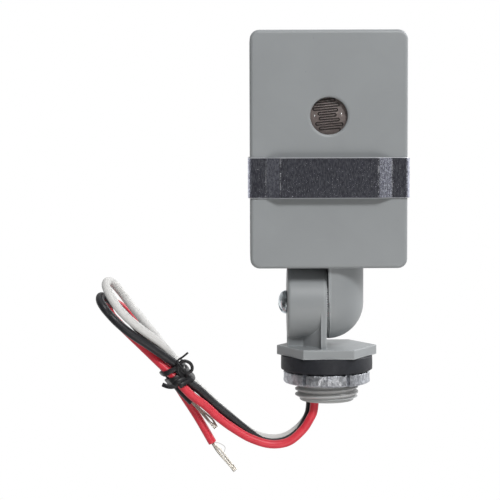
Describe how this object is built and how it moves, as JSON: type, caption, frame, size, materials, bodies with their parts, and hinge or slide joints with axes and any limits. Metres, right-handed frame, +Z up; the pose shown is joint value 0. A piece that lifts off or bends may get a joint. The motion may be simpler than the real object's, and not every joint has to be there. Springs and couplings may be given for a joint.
{
  "type": "stem-mount photocell switch",
  "caption": "Photocell lighting switch: swivelling grey head with a light eye and sliding light shade, on a threaded conduit stem with gasket, locknut and leads.",
  "frame": {"origin": "on the stem axis, in the middle of the free thread below the locknut", "axes": "+Z up along the stem, -Y is the front that the eye looks out of, +X to the right of the eye seen from the front"},
  "size_m": [0.1016, 0.0331, 0.1464],
  "materials": {
    "grey_plastic": "fine satin moulding",
    "window": "clear",
    "black_plastic": "matt",
    "cell_ceramic": "matt ceramic",
    "cell_track": "matt",
    "tinned_copper": "tinned",
    "zinc_sheet": "bright zinc plate",
    "zinc_steel": "zinc plate",
    "zinc_cast": "as cast zinc",
    "phenolic": "matt laminate",
    "brass": "stamped",
    "bimetal": "rolled strip",
    "silver": "polished",
    "resistor_ceramic": "matt",
    "white_insulation": "satin",
    "black_insulation": "satin",
    "red_insulation": "satin",
    "tie_plastic": "gloss",
    "rubber": "matt"
  },
  "bodies": {
    "base": {"swivel_base": "grey_plastic", "lead_white": "white_insulation", "lead_black": "black_insulation", "lead_red": "red_insulation", "strands_white": "tinned_copper", "strands_black": "tinned_copper", "strands_red": "tinned_copper", "twist_tie": "tie_plastic"},
    "head": {"housing": "grey_plastic", "rear_cover": "grey_plastic", "eye_window": "window", "cell_retainer": "black_plastic", "photocell_wafer": "cell_ceramic", "photocell_track": "cell_track", "photocell_leads": "tinned_copper", "swivel_screw": "zinc_steel", "swivel_nut": "zinc_steel", "board": "phenolic", "board_screws": "zinc_steel", "bimetal_post": "brass", "bimetal_arm": "bimetal", "moving_contact": "silver", "fixed_bracket": "brass", "fixed_contact": "silver", "heater_resistor": "resistor_ceramic", "setting_screw": "brass", "line_terminal": "brass", "load_terminal": "brass", "neutral_terminal": "brass", "inner_lead_white": "white_insulation", "inner_lead_black": "black_insulation", "inner_lead_red": "red_insulation"},
    "shade": {"light_shade": "zinc_sheet"},
    "gasket": {"gasket": "rubber"},
    "locknut": {"locknut": "zinc_cast"}
  },
  "joints": [
    {"name": "head_tilt", "type": "hinge", "parent": "base", "child": "head", "pos_m": [0, 0, 0.0286], "axis": [1, 0, 0], "range_deg": [-80, 80]},
    {"name": "shade_slide", "type": "slide", "parent": "head", "child": "shade", "axis": [0, 0, 1], "range_m": [-0.013, 0.022]},
    {"name": "gasket_slide", "type": "slide", "parent": "base", "child": "gasket", "axis": [0, 0, -1], "range_m": [0, 0.0046]},
    {"name": "locknut_turn", "type": "hinge", "parent": "gasket", "child": "locknut", "pos_m": [0, 0, 0.004], "axis": [0, 0, -1], "range_deg": [0, 900]}
  ],
  "couplings": [
    {"joint": "gasket_slide", "follows": "locknut_turn", "m_per_rad": 0.00028871}
  ]
}
